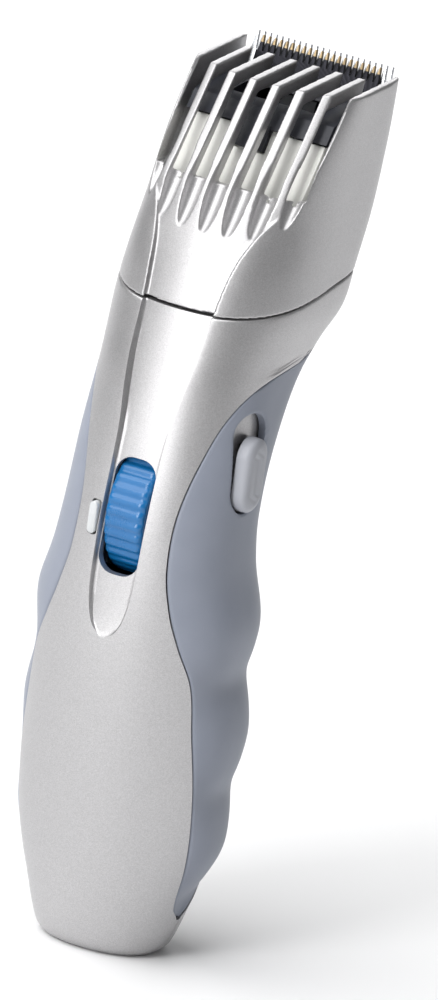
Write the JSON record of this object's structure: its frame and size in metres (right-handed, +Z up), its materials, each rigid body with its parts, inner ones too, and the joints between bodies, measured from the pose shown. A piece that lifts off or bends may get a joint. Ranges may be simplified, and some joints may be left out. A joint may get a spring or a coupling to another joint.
{
  "type": "beard trimmer",
  "caption": "Cordless beard and hair trimmer with a leaning head, slide-on comb set by a thumb dial, side slide switch and battery cover.",
  "frame": {"origin": "centre of the flat base that the trimmer stands on", "axes": "+Z up the handle to the comb, -Y the dial side, +X the switch side"},
  "size_m": [0.0418, 0.055, 0.162],
  "materials": {
    "black": "satin",
    "brass": "satin",
    "button": "fine texture",
    "cell": "printed sleeve",
    "clear": "clear",
    "dial": "satin",
    "grip": "matte soft touch",
    "silver": "satin metallic paint",
    "steel": "ground",
    "white": "satin"
  },
  "bodies": {
    "casing": {"motor_can": "steel", "motor_cap": "white", "motor_mount": "black", "lever_pin": "steel", "inner_head": "white", "blade_housing": "black", "fixed_blade": "steel", "blade_spring": "steel", "blade_screw_left": "steel", "blade_screw_right": "steel", "front_shell": "silver", "rear_shell": "silver", "grip_right": "grip", "grip_left": "grip", "cell_left": "cell", "cell_right": "cell", "contact_spring": "steel", "contact_pad": "steel", "contact_tray": "black", "lower_plate_left": "steel", "lower_plate_right": "steel", "upper_link": "steel", "bay_bulkhead": "black", "detent_spring": "steel", "indicator_lens": "clear", "switch_contact": "brass"},
    "dial": {"comb_dial": "dial", "dial_axle": "steel", "pinion_left": "white", "pinion_right": "white"},
    "carrier": {"comb_carrier": "white"},
    "comb": {"comb": "silver"},
    "switch": {"switch_button": "button", "switch_slider": "black"},
    "rotor": {"motor_shaft": "steel", "eccentric": "white"},
    "lever": {"drive_lever": "white"},
    "cutter": {"moving_blade": "brass", "blade_driver": "black"},
    "cover": {"battery_cover": "silver"}
  },
  "joints": [
    {"name": "dial_turn", "type": "hinge", "parent": "casing", "child": "dial", "pos_m": [0, -0.0039, 0.083], "axis": [1, 0, 0], "range_deg": [0, 115]},
    {"name": "comb_slide", "type": "slide", "parent": "casing", "child": "carrier", "axis": [0, 0.3173, 0.9483], "range_m": [0, 0.01]},
    {"name": "comb_lift_off", "type": "slide", "parent": "carrier", "child": "comb", "axis": [0, 0.3173, 0.9483], "range_m": [0, 0.05]},
    {"name": "power_slide", "type": "slide", "parent": "casing", "child": "switch", "axis": [0, 0, 1], "range_m": [0, 0.003]},
    {"name": "motor_spin", "type": "hinge", "parent": "casing", "child": "rotor", "pos_m": [0, 0.0075, 0.12201], "axis": [0, 0.3173, 0.9483], "continuous": true},
    {"name": "lever_rock", "type": "hinge", "parent": "casing", "child": "lever", "pos_m": [0, 0.0114, 0.13367], "axis": [0, 0.9483, -0.3173], "range_deg": [-4.9, 4.9]},
    {"name": "blade_slide", "type": "slide", "parent": "casing", "child": "cutter", "axis": [1, 0, 0], "range_m": [-0.0014, 0.0014]},
    {"name": "cover_lift_off", "type": "slide", "parent": "casing", "child": "cover", "axis": [0, 1, 0], "range_m": [0, 0.03]}
  ],
  "couplings": [
    {"joint": "dial_turn", "follows": "comb_slide", "rad_per_m": 200},
    {"joint": "lever_rock", "follows": "blade_slide", "rad_per_m": 58.824}
  ]
}
